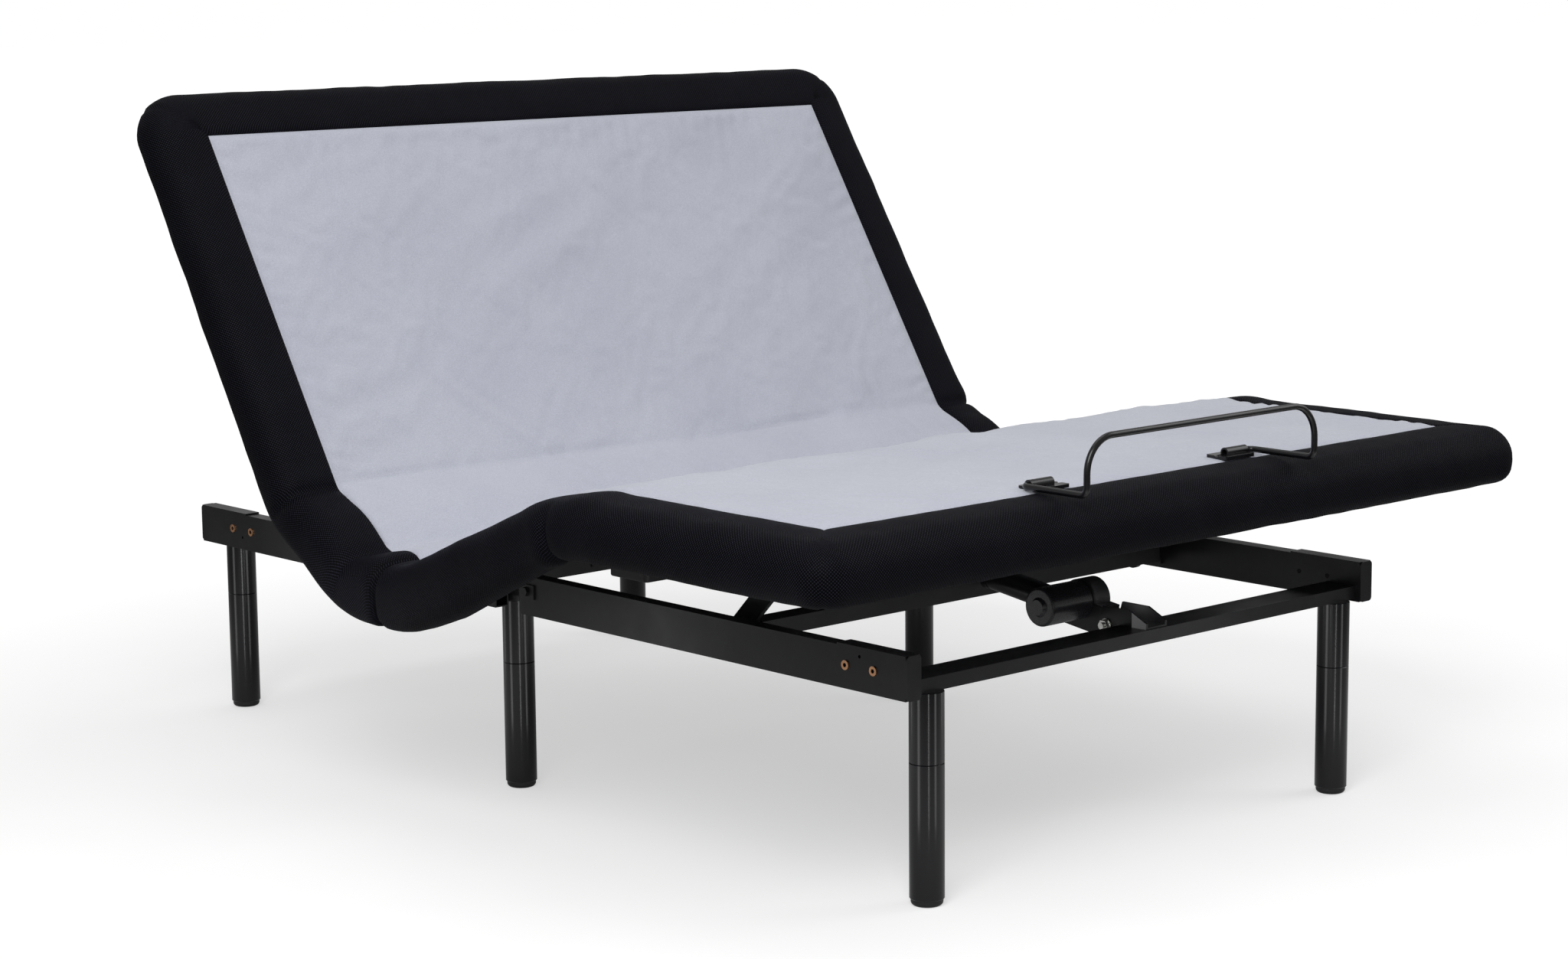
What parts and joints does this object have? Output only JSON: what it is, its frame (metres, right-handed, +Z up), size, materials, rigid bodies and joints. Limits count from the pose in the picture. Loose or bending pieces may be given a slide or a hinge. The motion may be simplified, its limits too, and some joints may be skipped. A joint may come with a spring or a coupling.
{
  "type": "adjustable bed base",
  "caption": "Adjustable bed base with an upholstered, hinged platform over a black steel frame on round legs, shown with back and knees raised and a mattress retainer bar at the foot.",
  "frame": {"origin": "centre of the bounding box on the floor, in the raised pose shown", "axes": "+Z up, +Y towards the head end, +X towards the side away from the camera"},
  "size_m": [1.524, 1.883, 1.0966],
  "materials": {
    "frame_steel": "satin",
    "lift_steel": "satin",
    "leg_steel": "satin",
    "glide_plastic": "matte",
    "bolt_brass": "satin",
    "bolt_zinc": "polished",
    "hinge_steel": "satin",
    "panel_board": "matte",
    "pad_fabric": "matte",
    "border_mesh": "matte",
    "motor_plastic": "satin",
    "gear_plastic": "matte",
    "tube_steel": "satin",
    "rod_chrome": "polished",
    "roller_nylon": "matte",
    "retainer_steel": "satin",
    "box_plastic": "matte"
  },
  "bodies": {
    "base_frame": {"side_rail_foot_left": "frame_steel", "side_rail_foot_right": "frame_steel", "side_rail_head_left": "frame_steel", "side_rail_head_right": "frame_steel", "rail_corner_brackets": "frame_steel", "rail_bolts": "bolt_brass", "foot_cross_rail": "frame_steel", "head_cross_rail": "frame_steel", "foot_mid_cross_tube": "frame_steel", "head_mid_cross_tube": "frame_steel", "rail_splices": "frame_steel", "splice_bolts": "hinge_steel", "leg_upper_sections": "leg_steel", "leg_lower_foot_left": "leg_steel", "leg_lower_foot_right": "leg_steel", "leg_lower_middle_left": "leg_steel", "leg_lower_middle_right": "leg_steel", "leg_lower_head_left": "leg_steel", "leg_lower_head_right": "leg_steel", "leg_glides": "glide_plastic", "seat_boards": "panel_board", "seat_pads": "pad_fabric", "seat_border": "border_mesh", "seat_hinge_plates": "hinge_steel", "lift_pivot_brackets": "frame_steel", "foot_actuator_bracket": "frame_steel", "head_actuator_bracket": "frame_steel", "actuator_clevis_bolts": "bolt_zinc", "control_box": "box_plastic"},
    "thigh_panel": {"thigh_board": "panel_board", "thigh_pad": "pad_fabric", "thigh_border": "border_mesh", "thigh_hinge_leaves": "hinge_steel"},
    "foot_panel": {"foot_board": "panel_board", "foot_pad": "pad_fabric", "foot_border": "border_mesh", "foot_panel_hinge_leaves": "hinge_steel", "retainer_bar": "retainer_steel", "retainer_brackets": "retainer_steel"},
    "lumbar_panel": {"lumbar_board": "panel_board", "lumbar_pad": "pad_fabric", "lumbar_border": "border_mesh", "lumbar_hinge_leaves": "hinge_steel"},
    "back_panel": {"back_board": "panel_board", "back_pad": "pad_fabric", "back_border": "border_mesh", "back_hinge_leaves": "hinge_steel"},
    "leg_lift": {"leg_lift_frame": "lift_steel"},
    "leg_rollers": {"leg_lift_rollers": "roller_nylon"},
    "head_lift": {"head_lift_frame": "lift_steel"},
    "head_rollers": {"head_lift_rollers": "roller_nylon"},
    "foot_actuator": {"foot_motor": "motor_plastic", "foot_gear_housing": "gear_plastic", "foot_actuator_tube": "tube_steel"},
    "foot_actuator_rod": {"foot_actuator_rod": "rod_chrome"},
    "head_actuator": {"head_motor": "motor_plastic", "head_gear_housing": "gear_plastic", "head_actuator_tube": "tube_steel"},
    "head_actuator_rod": {"head_actuator_rod": "rod_chrome"}
  },
  "joints": [
    {"name": "leg_lift", "type": "hinge", "parent": "base_frame", "child": "thigh_panel", "pos_m": [0, 0.02849, 0.38], "axis": [-1, 0, 0], "range_deg": [-22.5, 0]},
    {"name": "foot_panel_level", "type": "hinge", "parent": "thigh_panel", "child": "foot_panel", "pos_m": [0, -0.35399, 0.53843], "axis": [-1, 0, 0], "range_deg": [0, 22.51]},
    {"name": "head_lift", "type": "hinge", "parent": "base_frame", "child": "lumbar_panel", "pos_m": [0, 0.15449, 0.38], "axis": [1, 0, 0], "range_deg": [-31, 0]},
    {"name": "back_tilt", "type": "hinge", "parent": "lumbar_panel", "child": "back_panel", "pos_m": [0, 0.30621, 0.47116], "axis": [1, 0, 0], "range_deg": [-27.01, 0]},
    {"name": "leg_lift_arms", "type": "hinge", "parent": "base_frame", "child": "leg_lift", "pos_m": [0, -0.39151, 0.322], "axis": [-1, 0, 0], "range_deg": [-42.11, 0]},
    {"name": "head_lift_arms", "type": "hinge", "parent": "base_frame", "child": "head_lift", "pos_m": [0, 0.29349, 0.322], "axis": [1, 0, 0], "range_deg": [-59.65, 0]},
    {"name": "leg_roller_spin", "type": "hinge", "parent": "leg_lift", "child": "leg_rollers", "pos_m": [0, -0.59584, 0.52633], "axis": [1, 0, 0], "continuous": true},
    {"name": "head_roller_spin", "type": "hinge", "parent": "head_lift", "child": "head_rollers", "pos_m": [0, 0.46703, 0.70456], "axis": [1, 0, 0], "continuous": true},
    {"name": "foot_actuator_tilt", "type": "hinge", "parent": "base_frame", "child": "foot_actuator", "pos_m": [0, -0.73351, 0.323], "axis": [1, 0, 0], "range_deg": [-1.07, 0]},
    {"name": "foot_rod_slide", "type": "slide", "parent": "foot_actuator", "child": "foot_actuator_rod", "axis": [0, 0.9908, 0.1353], "range_m": [-0.03412, 0]},
    {"name": "head_actuator_tilt", "type": "hinge", "parent": "base_frame", "child": "head_actuator", "pos_m": [0, 0.84849, 0.323], "axis": [-1, 0, 0], "range_deg": [-1.19, 0]},
    {"name": "head_rod_slide", "type": "slide", "parent": "head_actuator", "child": "head_actuator_rod", "axis": [0, -0.9966, 0.0818], "range_m": [-0.04675, 0]}
  ],
  "couplings": [
    {"joint": "foot_panel_level", "follows": "leg_lift", "ratio": -1},
    {"joint": "leg_lift_arms", "follows": "leg_lift", "ratio": 1.871},
    {"joint": "foot_actuator_tilt", "follows": "leg_lift", "ratio": 0.04698},
    {"joint": "foot_rod_slide", "follows": "leg_lift", "m_per_rad": 0.086634},
    {"joint": "back_tilt", "follows": "head_lift", "ratio": 0.87097},
    {"joint": "head_lift_arms", "follows": "head_lift", "ratio": 1.924},
    {"joint": "head_actuator_tilt", "follows": "head_lift", "ratio": 0.03802},
    {"joint": "head_rod_slide", "follows": "head_lift", "m_per_rad": 0.086221}
  ]
}
